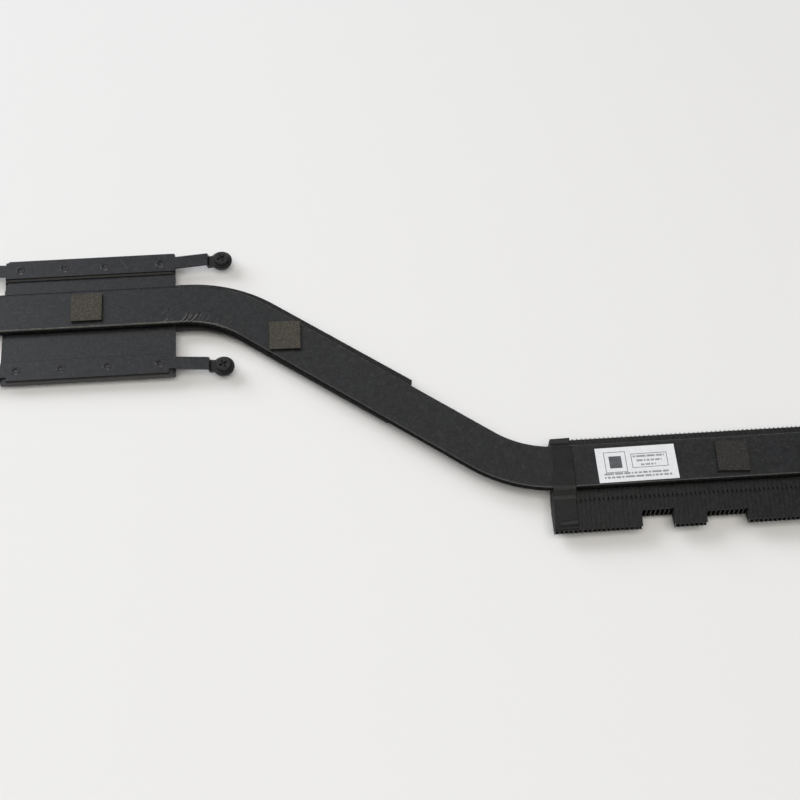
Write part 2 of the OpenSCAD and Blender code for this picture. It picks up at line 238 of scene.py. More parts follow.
# Each line: start, stop, half width (mm in plan) and colour
PAINTED_EDGE_LINES = [       # along the plate's two lands: painted shade along the front step, painted highlights on the rear land's edge and the plate's front edge
    ((-21.2, -11.97), (21.2, -11.97), 0.08, "#030303"),
    ((-21.2, 12.33), (21.2, 12.33), 0.15, "#3a3831"),
    ((-21.2, -17.9), (21.2, -17.9), 0.12, "#33312b"),
]
SCRATCHES = [   # on the rear spring: a fine dark line and a bright one with a dark side
    ((-14.69, 16.78), (-14.69, 13.39), 0.06, "#050505"),
    ((7.6, 16.77), (9.55, 13.54), 0.06, "#4a4a4a"),
    ((7.78, 16.77), (9.73, 13.54), 0.06, "#060606"),
]
print("seams", len(PAINTED_EDGE_LINES), "scratches", len(SCRATCHES))

# %% [markdown]
# ## Black paints
# Nearly everything is the same satin black, so the pieces differ only in their surface: sprayed
# paint has a fine orange peel, stamped steel is duller, and the pipe's edges get a thin painted
# highlight of brownish grey. So one recipe makes them all, with two tones, a roughness, a peel size
# and an amount of dust. With bases this dark, nearly all light that comes back is reflected, and the
# roughness decides the tone.

# %% Recipe for sprayed satin black


def black_paint(name, dark, light, rough, peel_mm=0.4, peel_depth=0.018, dust=0.08, scratches=(),
                shine=0.5):
    """Mottled colour dark..light, roughness rough +-0.05, peel bump, pale dust, single scratches.

    Real peel and dust are about 0.15 mm; both are drawn coarser, to show from this distance.
    """
    material, tree, shader, coords = new_material(name)
    mottle = node(tree, "ShaderNodeTexNoise", {"Vector": coords, "Scale": grains(0.7),
                                               "Detail": 5.0, "Roughness": 0.7})["Fac"]
    tint = node(tree, "ShaderNodeValToRGB", {"Fac": mottle}, [(0.3, dark), (0.7, light)])["Color"]
    tree.links.new(tint, shader.inputs["Base Color"])
    specks = node(tree, "ShaderNodeTexNoise", {"Vector": coords, "Scale": grains(0.3),
                                               "Detail": 3.0, "Roughness": 0.7})["Fac"]
    dusty = node(tree, "ShaderNodeMapRange", {"Value": specks, "From Min": 0.5, "From Max": 0.75,
                                              "To Min": 0.0, "To Max": dust})["Result"]
    paint_over(tree, shader, dusty, "#8a877f")
    dull = node(tree, "ShaderNodeMapRange", {"Value": mottle, "From Min": 0.3, "From Max": 0.7,
                                             "To Min": rough - 0.05, "To Max": rough + 0.05})
    tree.links.new(dull["Result"], shader.inputs["Roughness"])
    peel = node(tree, "ShaderNodeTexNoise", {"Vector": coords, "Scale": grains(peel_mm),
                                             "Detail": 2.0, "Roughness": 0.55})["Fac"]
    tilt = node(tree, "ShaderNodeBump", {"Height": peel, "Distance": peel_depth * MM, "Strength": 1.0})
    tree.links.new(tilt["Normal"], shader.inputs["Normal"])
    shader.inputs["Specular IOR Level"].default_value = shine
    for start, stop, half_mm, code in scratches:
        paint_over(tree, shader, scratch_mask(tree, coords, start, stop, half_mm), code)
    return material


# Sprayed aluminium and spring steel: an even satin grey sheen from above; the plate also carries
# the painted lines of highlight and shade along its lands
plate_paint = black_paint("satin black spray paint on aluminium", "#101113", "#1f2023", 0.42,
                          scratches=PAINTED_EDGE_LINES)
spring_paint = black_paint("satin black coat on spring steel", "#101114", "#202125", 0.40,
                           scratches=SCRATCHES)
# Hammered rivets and zinc plated screws: smoother, so they glint at their edges
rivet_black = black_paint("worn black coat on steel rivets", "#151517", "#34343a", 0.25,
                          peel_mm=0.2, peel_depth=0.02, dust=0.2)
screw_black = black_paint("black zinc on steel screws", "#0f0f11", "#1b1b1d", 0.36, peel_mm=0.25)
# The rolled strip under the pipe: duller, it was never sprayed from above
strip_black = black_paint("matt black coat on steel strip", "#0c0c0d", "#161617", 0.48, shine=0.35)
# The pipe's four paints: its top, a painted highlight on the front edge and wrinkle crests,
# a fainter painted highlight on the far edge, and painted shade on the front side
pipe_paint = black_paint("satin black spray paint on copper pipe", "#0d0e10", "#1c1d20", 0.42)
highlight_paint = black_paint("paint rubbed thin along the pipe's edge", "#34322c", "#777265", 0.36)
far_highlight_paint = black_paint("painted highlight along the pipe's far edge", "#1d1d1e", "#3d3d3c", 0.38)
side_shade_paint = black_paint("painted shade on the pipe's front side", "#050505", "#0c0c0c", 0.6, shine=0.12)
print("the pipe's four paints:", [m.name for m in (pipe_paint, highlight_paint, far_highlight_paint, side_shade_paint)])

# %% [markdown]
# ## Fins
# The fins are stamped from thin sheet and coated after they are zipped together. Neither spray nor
# light gets far in between, so their tops look grey and the gaps look black. The gaps could be
# darkened by more light bounces alone, but the picture then needs far more samples. Here a mask
# paints that shade: below the tops, behind the front edges and above the foot, the coat is painted
# darker and duller.

# %% Coat on the fins


def shaded_fin_coat(name, front_mm):
    """Black coat with painted shade; its mask is deep(z) * behind(y) * above_foot(z), each a ramp
    between two places.
    """
    material = black_paint(name, "#090909", "#131314", 0.4, peel_mm=0.3)
    tree = material.node_tree
    shader = tree.nodes["Principled BSDF"]
    place = node(tree, "ShaderNodeSeparateXYZ", {"Vector": node(tree, "ShaderNodeTexCoord")["Object"]})
    deep, behind, above_foot = [
        node(tree, "ShaderNodeMapRange", {"Value": place[axis], "From Min": a * MM, "From Max": b * MM,
                                          "To Min": at_a, "To Max": 1.0 - at_a})["Result"]
        for axis, a, b, at_a in (("Z", SEAT - 0.3, SEAT - 0.05, 1.0),
                                 ("Y", front_mm + 0.3, front_mm + 0.8, 0.0),
                                 ("Z", FLOOR + 0.1, FLOOR + 0.4, 0.0))]
    mask = node(tree, "ShaderNodeMath", {0: deep, 1: behind}, operation="MULTIPLY")[0]
    mask = node(tree, "ShaderNodeMath", {0: mask, 1: above_foot}, operation="MULTIPLY")[0]
    # painted shade: the coat turns near black, and duller, where the mask is 1
    paint_over(tree, shader, mask, "#020202")
    rough = shader.inputs["Roughness"].links[0].from_socket
    duller = node(tree, "ShaderNodeMath", {0: mask, 1: 0.4, 2: rough}, operation="MULTIPLY_ADD")[0]
    tree.links.new(duller, shader.inputs["Roughness"])
    return material


fin_black = shaded_fin_coat("matt black coat on stamped fins", box_mm("fins_block_left")[0][1])
notch_black = shaded_fin_coat("matt black coat on the set back fins", box_mm("fins_notch_left")[0][1])
print("front of the fins at y", round(box_mm("fins_block_left")[0][1], 2),
      "and of the set back ones", round(box_mm("fins_notch_left")[0][1], 2))

# %% [markdown]
# ## Bare copper
# Only the block that meets the processor is bare: cut flat by a milling tool, it shows fine
# parallel lines and a slight tarnish. A wave texture as bump gives the lines, a soft noise the tarnish.

# %% Milled copper


def milled_copper():
    """Metal whose colour follows 3 mm stains, with a wave bump for tool lines 0.3 mm apart."""
    material, tree, shader, coords = new_material("bare milled copper")
    stain = node(tree, "ShaderNodeTexNoise", {"Vector": coords, "Scale": grains(3.0),
                                              "Detail": 4.0, "Roughness": 0.55})["Fac"]
    tint = node(tree, "ShaderNodeValToRGB", {"Fac": stain}, [(0.3, "#b87a58"), (0.7, "#cf9371")])
    tree.links.new(tint["Color"], shader.inputs["Base Color"])
    lines = node(tree, "ShaderNodeTexWave", {"Vector": coords, "Scale": 1000.0 / 0.3 / 6.0,
                                             "Distortion": 0.4}, bands_direction="X")["Fac"]
    tilt = node(tree, "ShaderNodeBump", {"Height": lines, "Distance": 0.004 * MM, "Strength": 1.0})
    tree.links.new(tilt["Normal"], shader.inputs["Normal"])
    shader.inputs["Metallic"].default_value = 1.0
    shader.inputs["Roughness"].default_value = 0.32
    return material


# A warm metal mirror, broken up across the tool lines
bare_copper = milled_copper()
print("metal finish", bare_copper.name)

# %% [markdown]
# ## Foam
# The pads are open-cell foam: pale cell walls around dark pores of about 0.4 mm. Modelling each
# cell would take far too many faces, so the pores are a bump of cell distances, and a finer noise
# gives the walls their three tones. The sides, cut by a knife and turned from the light, get a
# darker copy of the foam as painted shade.

# %% Foam finishes


def foam(name, tones):
    """Colour from 0.18 mm noise over three tones; bump = that noise on top of 0.42 mm pores."""
    material, tree, shader, coords = new_material(name)
    pores = node(tree, "ShaderNodeTexVoronoi", {"Vector": coords, "Scale": 1000.0 / 0.42})["Distance"]
    grain = node(tree, "ShaderNodeTexNoise", {"Vector": coords, "Scale": grains(0.18),
                                              "Detail": 5.0, "Roughness": 0.7})["Fac"]
    tint = node(tree, "ShaderNodeValToRGB", {"Fac": grain}, list(zip((0.3, 0.5, 0.7), tones)))
    tree.links.new(tint["Color"], shader.inputs["Base Color"])
    tilt = node(tree, "ShaderNodeBump", {"Height": pores, "Distance": 0.12 * MM, "Strength": 1.0})
    tilt = node(tree, "ShaderNodeBump", {"Height": grain, "Distance": 0.1 * MM, "Strength": 1.0,
                                         "Normal": tilt["Normal"]})
    tree.links.new(tilt["Normal"], shader.inputs["Normal"])
    shader.inputs["Roughness"].default_value = 0.95
    shader.inputs["Specular IOR Level"].default_value = 0.15
    return material


# A dull brownish grey that swallows light; the right pad gets a darker copy as painted shade
grey_foam = foam("dark grey open-cell foam", ("#35322d", "#494640", "#5e5a53"))
shaded_right_foam = foam("painted shade on the right pad's grey open-cell foam", ("#282624", "#363432", "#474542"))
shaded_side_foam = foam("painted shade on the knife-cut sides of the foam", ("#141312", "#1e1c1a", "#2b2926"))
print("foam finishes", grey_foam.name, "/", shaded_right_foam.name, "/", shaded_side_foam.name)

# %% [markdown]
# ## Cloth tape
# Acetate cloth tape is woven from fine threads and then dyed black. Crossed waves give the weave,
# a noise under it the uneven glue, and a dark line of painted shade lies in the fold that was
# pressed in at the front.

# %% Tape finish


def tape_cloth():
    """Bump = weft wave * warp wave on 0.35 mm grain; colour from 0.8 mm noise, painted shade in the
    fold.

    The real threads are 0.2 mm apart; they are drawn 0.36 mm apart, to show from this distance.
    """
    material, tree, shader, coords = new_material("black acetate cloth tape")
    weft, warp = [node(tree, "ShaderNodeTexWave", {"Vector": coords, "Scale": 1000.0 / 0.36 / 6.28,
                                                   "Distortion": 1.0, "Detail": 1.0},
                       bands_direction=way)["Fac"] for way in ("X", "Y")]
    weave = node(tree, "ShaderNodeMath", {0: weft, 1: warp}, operation="MULTIPLY")[0]
    dye = node(tree, "ShaderNodeTexNoise", {"Vector": coords, "Scale": grains(0.8),
                                            "Detail": 4.0, "Roughness": 0.55})["Fac"]
    tint = node(tree, "ShaderNodeValToRGB", {"Fac": dye}, [(0.3, "#080808"), (0.7, "#141413")])
    tree.links.new(tint["Color"], shader.inputs["Base Color"])
    # painted shade along the hollow of the pressed fold
    fold = scratch_mask(tree, coords, (111.3, -64.68), (115.6, -65.1), 0.45)
    paint_over(tree, shader, fold, "#010101")
    grain = node(tree, "ShaderNodeTexNoise", {"Vector": coords, "Scale": grains(0.35),
                                              "Detail": 3.0, "Roughness": 0.7})["Fac"]
    tilt = node(tree, "ShaderNodeBump", {"Height": grain, "Distance": 0.05 * MM, "Strength": 1.0})
    tilt = node(tree, "ShaderNodeBump", {"Height": weave, "Distance": 0.02 * MM, "Strength": 1.0,
                                         "Normal": tilt["Normal"]})
    tree.links.new(tilt["Normal"], shader.inputs["Normal"])
    shader.inputs["Roughness"].default_value = 0.55
    shader.inputs["Specular IOR Level"].default_value = 0.4
    return material


# Black with a soft grain, a little less shiny than the paint next to it
black_tape = tape_cloth()
print("tape finish", black_tape.name)

# %% [markdown]
# ## Label stock and ink
# Coated paper is nearly white with a faint fibre grain; ink lies flat on it and is a little duller.
# Both are one recipe with two tones and a roughness.

# %% Label finishes


def label_paper(name, low, high, rough):
    """Colour from 0.5 mm fibres over two tones, and the same fibres as a very shallow bump."""
    material, tree, shader, coords = new_material(name)
    fibre = node(tree, "ShaderNodeTexNoise", {"Vector": coords, "Scale": grains(0.5),
                                              "Detail": 4.0, "Roughness": 0.55})["Fac"]
    tint = node(tree, "ShaderNodeValToRGB", {"Fac": fibre}, [(0.3, low), (0.7, high)])
    tree.links.new(tint["Color"], shader.inputs["Base Color"])
    tilt = node(tree, "ShaderNodeBump", {"Height": fibre, "Distance": 0.004 * MM, "Strength": 1.0})
    tree.links.new(tilt["Normal"], shader.inputs["Normal"])
    shader.inputs["Roughness"].default_value = rough
    return material


# Bright and slightly glossy paper; the frames are printed darker than the rows of bars
white_label = label_paper("white coated label paper", "#dedfe1", "#e8e9ea", 0.5)
dark_ink = label_paper("dark grey printing ink", "#4a4b50", "#5c5d62", 0.6)
pale_ink = label_paper("thin grey printing ink", "#8c8e93", "#9a9ca1", 0.6)
print("paper", white_label.name, "inks", dark_ink.name, "/", pale_ink.name)

# %% [markdown]
# ## Finishes on the CAD pieces
# A CAD piece has only a plain material of its own. It is swapped for the finish of the real piece;
# the mesh stays as it is.

# %% Give each CAD piece its finish
CAD_LOOKS = {
    "base_plate": plate_paint, "contact_block": bare_copper, "pipe_stiffener": strip_black,
    "leaf_spring_rear": spring_paint, "leaf_spring_front": spring_paint,
    "rivets_rear": rivet_black, "rivets_front": rivet_black,
    "fins_notch_left": notch_black, "fins_notch_right": notch_black,
}
for name, obj in NODES.items():
    look = CAD_LOOKS.get(name, fin_black if name.startswith("fins") else screw_black)
    obj.data.materials.clear()
    obj.data.materials.append(look)
print("finishes given to", len(NODES), "CAD pieces")

# %% [markdown]
# ## Heat pipe: middle line
# The pipe is bent round a former while it is still a round tube, so its middle line is made of
# straight runs and circle arcs. A Blender curve with a profile could carry it, but its section
# can't narrow at the closed ends or rise in wrinkles. So the line is worked out as points, placed
# more densely where the wrinkles need them.

# %% Heat pipe: runs and bends
BEND_ANGLE = math.atan2(3.0, 4.0)
BEND_R = 30.0
CORNER_1 = np.array([33.2, (PIPE_HI[1] - 5.827)])   # where the first and the slanted run would meet
SLANT = 86.75                                       # length of the slanted run from corner to corner


def pipe_middle():
    """Middle line as points, tangents and lengths along: line, arc, line, arc, line.

    Each arc has radius R and turns by a; its tangent length is R*tan(a/2) = R/3.
    """
    t = BEND_R / 3.0
    way = np.array([4.0, -3.0]) / 5.0
    corner_2 = CORNER_1 + way * SLANT
    a = np.array([PIPE_LO[0], CORNER_1[1]])
    b = CORNER_1 - [t, 0.0]
    c = CORNER_1 + way * t
    d = corner_2 - way * t
    e = corner_2 + [t, 0.0]
    f = np.array([PIPE_HI[0], corner_2[1]])
    pts = []

    def line(p, q, step):
        """p + (q - p)*s for s in 0..1, without the last point."""
        n = max(2, int(round(np.linalg.norm(q - p) / step)))
        s = np.linspace(0, 1, n, endpoint=False)[:, None]
        pts.append(p + (q - p) * s)

    def arc(centre, start, stop, step):
        """centre + R*(cos s, sin s) for s from start to stop, without the last point."""
        n = max(2, int(round(abs(stop - start) * BEND_R / step)))
        s = np.linspace(start, stop, n, endpoint=False)
        pts.append(centre + BEND_R * np.stack([np.cos(s), np.sin(s)], -1))

    line(a, a + [8.0, 0.0], 0.4)
    line(a + [8.0, 0.0], b - [7.0, 0.0], 1.2)
    line(b - [7.0, 0.0], b, 0.16)
    up = math.pi / 2
    arc(b - [0.0, BEND_R], up, up - BEND_ANGLE, 0.16)
    line(c, d, 1.0)
    arc(e + [0.0, BEND_R], -up - BEND_ANGLE, -up, 0.6)
    line(e, f - [8.0, 0.0], 1.2)
    line(f - [8.0, 0.0], f, 0.4)
    pts.append(f[None, :])
    p = np.concatenate(pts)
    tangent = np.gradient(p, axis=0)
    tangent /= np.linalg.norm(tangent, axis=1)[:, None]
    along = np.concatenate([[0.0], np.cumsum(np.linalg.norm(np.diff(p, axis=0), axis=1))])
    return p, tangent, along


print("pipe length", round(pipe_middle()[2][-1], 1), "mm in", len(pipe_middle()[0]), "points")

# %% [markdown]
# ## Heat pipe: bending wrinkles
# On the inner side of a bend the tube's wall gets shorter, and the spare metal rises in short
# slanted wrinkles. Sculpting could make them by hand; written as ridges with a place, a height
# and a width, they can be laid where they were measured and moved one by one.

# %% Heat pipe: wrinkles of the first bend
WRINKLES = [    # from, to (mm on the pipe's top), height, width
    ((18.9, -3.35), (20.4, -1.95), 0.14, 0.2),
    ((18.8, -1.0), (20.3, 0.9), 0.05, 0.26),
    ((23.2, -3.65), (25.0, -1.1), 0.16, 0.2),
    ((24.6, -3.7), (26.3, -1.3), 0.14, 0.18),
    ((25.5, -3.8), (27.8, -1.25), 0.2, 0.2),
    ((27.8, -4.05), (29.7, -1.85), 0.1, 0.22),
    ((30.2, -4.5), (31.7, -3.0), 0.1, 0.2),
    ((31.6, -5.1), (33.0, -4.05), 0.14, 0.18),
    ((33.0, -5.6), (34.9, -3.9), 0.1, 0.22),
]


def wrinkle_height(x, y):
    """Sum of ridges h*exp(-(v/w)^2), v across each slightly curved line, with a hollow beside it."""
    total = np.zeros_like(x)
    for p, q, h, w in WRINKLES:
        p, q = np.array(p), np.array(q)
        length = np.linalg.norm(q - p)
        along = (q - p) / length
        side = np.array([-along[1], along[0]])
        u = (x - p[0]) * along[0] + (y - p[1]) * along[1]
        v = (x - p[0]) * side[0] + (y - p[1]) * side[1] - 0.06 * (u - length / 2) ** 2
        ends = smoothstep(-0.9, 0.3, u) * (1 - smoothstep(length - 0.9, length + 0.5, u))
        ridge = np.exp(-(v / w) ** 2) - 0.75 * np.exp(-((v + 1.7 * w) / (1.2 * w)) ** 2)
        total += h * ends * ridge
    return total


print("wrinkles", len(WRINKLES), "highest", max(w[2] for w in WRINKLES), "mm")

# %% [markdown]
# ## Heat pipe: painted skin
# Pressed flat, the tube's section is a flat band with round sides; the press leaves a slight dish
# across it. The section is carried along the middle line as closed rings, and wrinkles, dish and
# waves are added as height. Faces along stretches of both top edges and on the tallest wrinkle
# crests get painted highlights, and faces on the front side painted shade, each its own paint,
# which is simpler than a mask here, because those edges follow the rings.

# %% Heat pipe: rings round the middle line
PAINT, PAINTED_HIGHLIGHT, FAR_HIGHLIGHT, SIDE_SHADE = range(4)    # the pipe's four paints, in the order of its material slots
END_HALF = 2.3                          # half width of the closed ends
DISH = 0.03                             # how far the press sank the middle of the band
SUNK = 0.02                             # the whole top lies this much lower, inside the CAD pipe
CREST = 0.11                            # wrinkles higher than this get a painted highlight on their tops


def pipe_surface():
    """Points x = mid + normal*v*width(s), z = SEAT + r + section(v)*thick(s) + rise on the top side.

    v runs round the section: flat top, front side, flat bottom, rear side. rise is wrinkles + waves
    - dish*(1 - (v/half)^2).
    """
    mid, tangent, along = pipe_middle()
    normal = np.stack([-tangent[:, 1], tangent[:, 0]], -1)
    half = (PIPE_HI[1] - CORNER_1[1])
    r = PIPE_T / 2
    flat = half - r
    from_end = np.minimum(along, along[-1] - along)
    width = END_HALF / half + (1 - END_HALF / half) * smoothstep(-0.6, 5.2, from_end)
    thick = 0.45 + 0.55 * smoothstep(-0.2, 1.1, from_end)
    top_n, low_n = 64, 7
    arc = np.radians([79, 64, 48, 30, 10, -12, -36, -60, -80])   # a narrow first facet for the painted highlight
    rear = arc[::-1]
    v = np.concatenate([np.linspace(flat, -flat, top_n), -flat - r * np.cos(arc),
                        np.linspace(-flat, flat, low_n), flat + r * np.cos(rear)])
    z = np.concatenate([np.full(top_n, r), r * np.sin(arc), np.full(low_n, -r), r * np.sin(rear)])
    on_top = np.concatenate([np.ones(top_n), np.clip(np.sin(arc), 0, 1), np.zeros(low_n),
                             np.clip(np.sin(rear), 0, 1)])
    x = mid[:, 0:1] + normal[:, 0:1] * (v[None, :] * width[:, None])
    y = mid[:, 1:2] + normal[:, 1:2] * (v[None, :] * width[:, None])
    waves = 0.012 * noise2(x, y, 9.0, 3) + 0.006 * noise2(x, y, 3.1, 4)
    creases = wrinkle_height(x, y)
    rise = creases + waves - DISH * (1 - (v[None, :] / half) ** 2)
    height = SEAT + r + z[None, :] * thick[:, None] + on_top[None, :] * (rise - SUNK)
    height = np.minimum(height, SEAT + PIPE_T + 0.14)
    paints = np.full((len(mid) - 1, len(v)), PAINT)
    # painted highlights on the tallest crests and along the front and far top edges, painted shade on
    # the front side
    paints[:, :top_n][creases[1:, :top_n] > CREST] = PAINTED_HIGHLIGHT
    paints[(mid[1:, 0] > -24) & (mid[1:, 0] < 40), top_n - 1] = PAINTED_HIGHLIGHT
    paints[mid[1:, 0] > 32, -1] = FAR_HIGHLIGHT
    paints[:, top_n + 1:top_n + 7] = SIDE_SHADE
    return np.stack([x, y, height], -1).reshape(-1, 3), x.shape, paints.ravel().tolist() + [0, 0]


pipe_points, pipe_grid, pipe_paints = pipe_surface()
heat_pipe = add_mesh("heat_pipe_painted", pipe_points, [f[::-1] for f in ring_quads(*pipe_grid)],
                     [pipe_paint, highlight_paint, far_highlight_paint, side_shade_paint],
                     face_slots=pipe_paints)
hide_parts("heat_pipe")

# %% [markdown]
# ## Foam pads
# Die-cut squares of open-cell foam, glued on top of the pipe. A knife leaves their sides rough and
# a little drawn in; the top stays slightly uneven. A cube with a displacement would round its
# corners; a top grid with separate walls keeps the cut edge crisp and gives the sides their painted
# shade.

# %% Foam pads: a top grid and four walls
PAD_SIZE = (7.7, 8.0)
PAD_TURNS = {"left": 0.3, "middle": -1.2, "right": -3.0}    # degrees, as they were stuck on
SKIN = 0.03                                                 # unevenness of the foam's skin, mm


def foam_pad(name, node_name, turn_deg, seed, look):
    """Points (u*w, v*d, t) for u, v in -0.5..0.5, and walls below the rim in equal steps.

    The top sinks by 0.08*smoothstep towards the rim plus noise; the walls draw in by 1.2 % lower
    down plus noise; then all turns about +Z.
    """
    lo, hi = box_mm(node_name)
    t = hi[2] - lo[2]
    n, steps = 34, 5
    u = np.linspace(-0.5, 0.5, n)
    gx, gy = np.meshgrid(u, u, indexing="ij")
    top = np.stack([gx.ravel() * PAD_SIZE[0], gy.ravel() * PAD_SIZE[1], np.full(n * n, t)], -1)
    low, high = np.full(n - 1, -0.5), np.full(n - 1, 0.5)
    rim = np.concatenate([np.stack(side, -1) for side in
                          ((u[:-1], low), (high, u[:-1]), (u[:0:-1], high), (low, u[:0:-1]))])
    walls = [np.stack([rim[:, 0] * PAD_SIZE[0], rim[:, 1] * PAD_SIZE[1],
                       np.full(len(rim), t * k / steps)], -1) for k in range(steps - 1, -1, -1)]
    pts = np.concatenate([top] + walls)
    columns = np.rint((rim + 0.5) * (n - 1)).astype(int)
    rings = [columns[:, 0] * n + columns[:, 1]]
    rings += [n * n + k * len(rim) + np.arange(len(rim)) for k in range(steps)]
    top_quads = grid_quads(n, n).tolist()
    wall_quads = np.concatenate([np.stack([a, b, np.roll(b, -1), np.roll(a, -1)], -1)
                                 for a, b in zip(rings[:-1], rings[1:])]).tolist()
    rng = np.random.default_rng(seed)
    out = np.maximum(np.abs(pts[:, 0]) / PAD_SIZE[0], np.abs(pts[:, 1]) / PAD_SIZE[1]) * 2
    down = 1 - pts[:, 2] / t
    sag = smoothstep(0.93, 1.0, out) * 0.08 + rng.uniform(0, SKIN, len(pts))
    pts[:, 2] -= sag * (pts[:, 2] > 0.01)
    drawn_in = 0.012 * smoothstep(0.0, 0.5, down) * (out > 0.99) * (down < 0.95)
    pts[:, :2] *= (1 - drawn_in)[:, None]
    pts[:, :2] -= np.sign(pts[:, :2]) * rng.uniform(0, SKIN, (len(pts), 2)) * (out > 0.99)[:, None]
    a = math.radians(turn_deg)
    turn = np.array([[math.cos(a), math.sin(a)], [-math.sin(a), math.cos(a)]])
    pts[:, :2] = pts[:, :2] @ turn + (lo[:2] + hi[:2]) / 2
    pts[:, 2] += lo[2] - 0.02
    faces = top_quads + wall_quads + [rings[-1][::-1].tolist()]
    # the walls take the darker foam copy: painted shade on the sides
    pad = add_mesh(name, pts, faces, [look, shaded_side_foam], False,
                   [0] * len(top_quads) + [1] * (len(faces) - len(top_quads)))
    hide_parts(node_name)
    return pad


# the right pad takes the darker foam copy: painted shade
for side, turn_deg in PAD_TURNS.items():
    foam_pad("foam_pad_%s_soft" % side, "foam_pad_" + side, turn_deg, 11 + len(side),
             shaded_right_foam if side == "right" else grey_foam)

# %% [markdown]
# ## Sealing tape
# A strip of black cloth tape closes the left end of the fin stack and holds its first fins. It runs
# over the pipe, so it lies flat, climbs the pipe's round side, crosses and comes down again, steep
# at the rear and bridging a hollow at the front. A cloth simulation could drape it, but a strip
# this short and stiff has one clear profile: a height over the place across the pipe.

# %% Sealing tape: a height over the pipe
STACK_CORNER = np.array([109.6, -66.5])   # front left corner of the fin stack
FIN_LEAN = math.radians(3.77)             # the fins' rear ends lean to the right by this much
TAPE_T = 0.3
TAPE_W = 5.6                              # width at its front end
TAPE_END = 24.3                           # its rear end, along the fins
TAPE_LIFT = 0.2                           # the loose rear edge stands up a little


def tape():
    """Strip z = base(x, y) + creases + ripples, closed below by base itself.

    Its plan follows the leaning fins: u across from the first fin, v along the fins. base is the
    seat plus the pipe's thickness times an eased step of the distance from the pipe's middle line.
    """
    across, along = np.meshgrid(np.linspace(0, 1, 44), np.linspace(0, 1, 260), indexing="ij")
    front = 0.42 + 0.4 * across
    v = front + along * (TAPE_END + 0.4 * across - front)
    width = TAPE_W - 0.15 * smoothstep(1, 11, v) - 0.65 * smoothstep(10, 25, v)
    u = 0.05 + across * width
    u = u + 0.05 * noise2(v * 3.0, v * 0 + 5, 1.0, 21) * (2 * across - 1)
    gx = STACK_CORNER[0] + u * math.cos(FIN_LEAN) + v * math.sin(FIN_LEAN)
    gy = STACK_CORNER[1] - u * math.sin(FIN_LEAN) + v * math.cos(FIN_LEAN)
    last_run = CORNER_1[1] - SLANT * 0.6
    bend_end = CORNER_1[0] + SLANT * 0.8 + BEND_R / 3.0
    before = (bend_end - gx).clip(0)
    drift = np.where(gx < bend_end, BEND_R - np.sqrt(BEND_R ** 2 - before ** 2), 0)
    off = gy - last_run - drift
    over = 1 - smoothstep(-0.75, np.where(off < 0, 2.4, 1.0), np.abs(off) - 5.8)
    base = SEAT + 0.03 + over * (PIPE_T + 0.02) + TAPE_LIFT * smoothstep(23.3, 24.4, v)
    slant = v - 0.12 * (u - 2.8)
    crease = 0.1 * np.exp(-((slant - 2.5) / 0.22) ** 2) - 0.17 * np.exp(-((slant - 1.7) / 0.42) ** 2)
    crease *= smoothstep(0.15, 0.35, across)
    ripples = 0.02 * noise2(gx, gy, 1.3, 8) + 0.03 * noise2(gx * 0.6, gy, 3.0, 9)
    upper = base + TAPE_T + crease + ripples
    rows, columns = gx.shape
    n = rows * columns
    points = np.concatenate([np.stack([gx, gy, z], -1).reshape(-1, 3) for z in (upper, base)])
    number = np.arange(n).reshape(rows, columns)
    rim = np.concatenate([number[:, 0], number[-1, 1:], number[-2::-1, -1], number[0, -2:0:-1]])
    walls = np.stack([np.roll(rim, -1), rim, rim + n, np.roll(rim, -1) + n], -1)
    quads = grid_quads(rows, columns)
    faces = quads.tolist() + (quads[:, ::-1] + n).tolist() + walls.tolist()
    piece = add_mesh("sealing_tape_cloth", points, faces, [black_tape])
    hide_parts("sealing_tape")
    middle = points[:n].reshape(rows, columns, 3)[rows // 2]
    print("tape length when flat", round(np.linalg.norm(np.diff(middle, axis=0), axis=1).sum(), 1), "mm")
    return piece


tape()

# %% [markdown]
# ## Label
# A paper label with flat ink: a square in a frame, an empty box and rows of grey bars of uneven
# length. Ink could be a texture; as rectangles a hair above the paper it needs no image and stays
# sharp from any distance.

# %% Label: where the ink lies
LABEL_W, LABEL_D, LABEL_TURN = 19.2, 9.2, math.radians(0.5)
FRAMES = [(-7.7, -2.45, -2.1, 3.4), (-1.2, 7.5, -1.15, 2.6)]        # x0, x1, y0, y1 on the label
BARS = [(-0.75, 1.62, 7.6, 0.5), (0.0, 0.48, 6.1, 0.5), (0.95, -0.62, 3.6, 0.45),
        (-8.2, -2.7, 15.5, 0.5), (-8.2, -3.6, 16.3, 0.5)]           # x, y, length, height of a row
BAR_LENGTHS = [0.55, 1.5, 0.8, 2.3, 0.4, 1.1, 1.9, 0.7]
BAR_GAP = 0.28
LINE = 0.14                                                         # line width of the frames


def ink_rectangles():
    """Each frame as four thin strips, a square in the first one, and rows cut into short bars."""
    dark, pale = [], []
    for x0, x1, y0, y1 in FRAMES:
        dark += [(x0, x1, y0, y0 + LINE), (x0, x1, y1 - LINE, y1),
                 (x0, x0 + LINE, y0 + LINE, y1 - LINE), (x1 - LINE, x1, y0 + LINE, y1 - LINE)]
    x0, x1, y0, y1 = FRAMES[0]
    cx, cy = (x0 + x1) / 2, (y0 + y1) / 2
    dark += [(cx - 1.5, cx + 1.5, cy - 1.6, cy + 1.6)]
    for row, (x, y, length, height) in enumerate(BARS):
        end, k = x + length, row
        while x < end:
            stop = min(end, x + BAR_LENGTHS[k % len(BAR_LENGTHS)])
            pale.append((x, stop, y, y + height))
            x, k = stop + BAR_GAP, k + 3
    return dark, pale


print("ink rectangles", [len(r) for r in ink_rectangles()])

# %% Label: paper and ink


